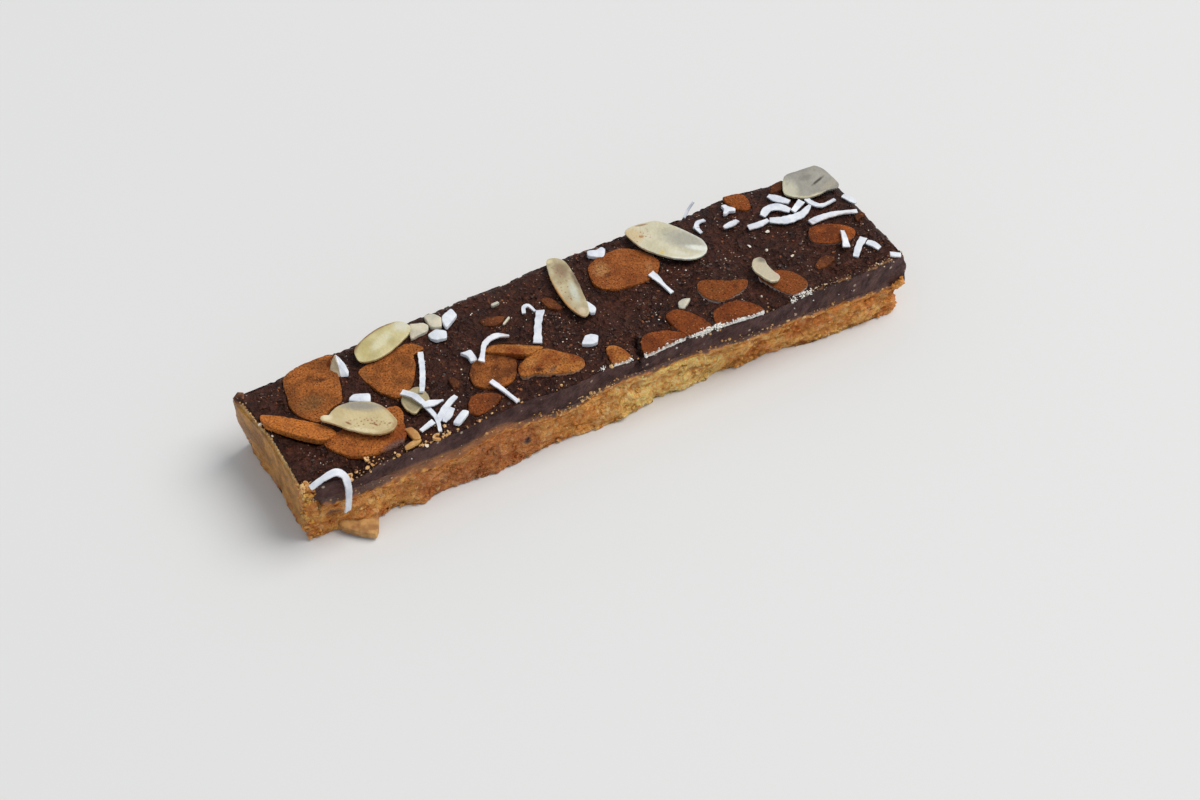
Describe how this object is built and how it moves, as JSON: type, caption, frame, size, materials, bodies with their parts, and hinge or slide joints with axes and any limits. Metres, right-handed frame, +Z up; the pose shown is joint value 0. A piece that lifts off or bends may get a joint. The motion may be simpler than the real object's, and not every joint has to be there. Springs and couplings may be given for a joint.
{
  "type": "caramel shortbread bar",
  "caption": "Hand-cut finger of caramel shortbread: crumbly base, thin caramel band and dark chocolate top set with almond slices, chips and coconut strips.",
  "frame": {"origin": "on the surface the bar lies on, under the middle of its bounding box", "axes": "+X along the bar towards the end cut by the knife, away from the upturned tray edge; +Y from the front cut face to the back one; +Z up through the chocolate top"},
  "size_m": [0.1754, 0.0506, 0.0216],
  "materials": {
    "shortbread": "golden brown, crumbly, slightly buttery",
    "caramel": "soft brown caramel, slightly glossy",
    "chocolate": "dark chocolate, satin, with coconut and almond chips",
    "almond_skin": "powdery brown almond skin",
    "almond_pale": "smooth cream almond, slightly translucent"
  },
  "bodies": {
    "root": {"shortbread_base": "shortbread", "caramel_layer": "caramel", "chocolate_top": "chocolate", "almond_skin_up_1": "almond_skin", "almond_skin_up_2": "almond_skin", "almond_skin_up_3": "almond_skin", "almond_skin_up_4": "almond_skin", "almond_skin_up_5": "almond_skin", "almond_skin_up_6": "almond_skin", "almond_skin_up_7": "almond_skin", "almond_skin_up_8": "almond_skin", "almond_skin_up_9": "almond_skin", "almond_skin_up_10": "almond_skin", "almond_skin_up_11": "almond_skin", "almond_skin_up_12": "almond_skin", "almond_skin_up_13": "almond_skin", "almond_skin_up_14": "almond_skin", "almond_skin_up_15": "almond_skin", "almond_skin_up_16": "almond_skin", "almond_skin_up_17": "almond_skin", "almond_pale_up_1": "almond_pale", "almond_pale_up_2": "almond_pale", "almond_pale_up_3": "almond_pale", "almond_pale_up_4": "almond_pale", "almond_pale_up_5": "almond_pale", "almond_pale_up_6": "almond_pale", "almond_pale_up_7": "almond_pale"}
  },
  "joints": []
}
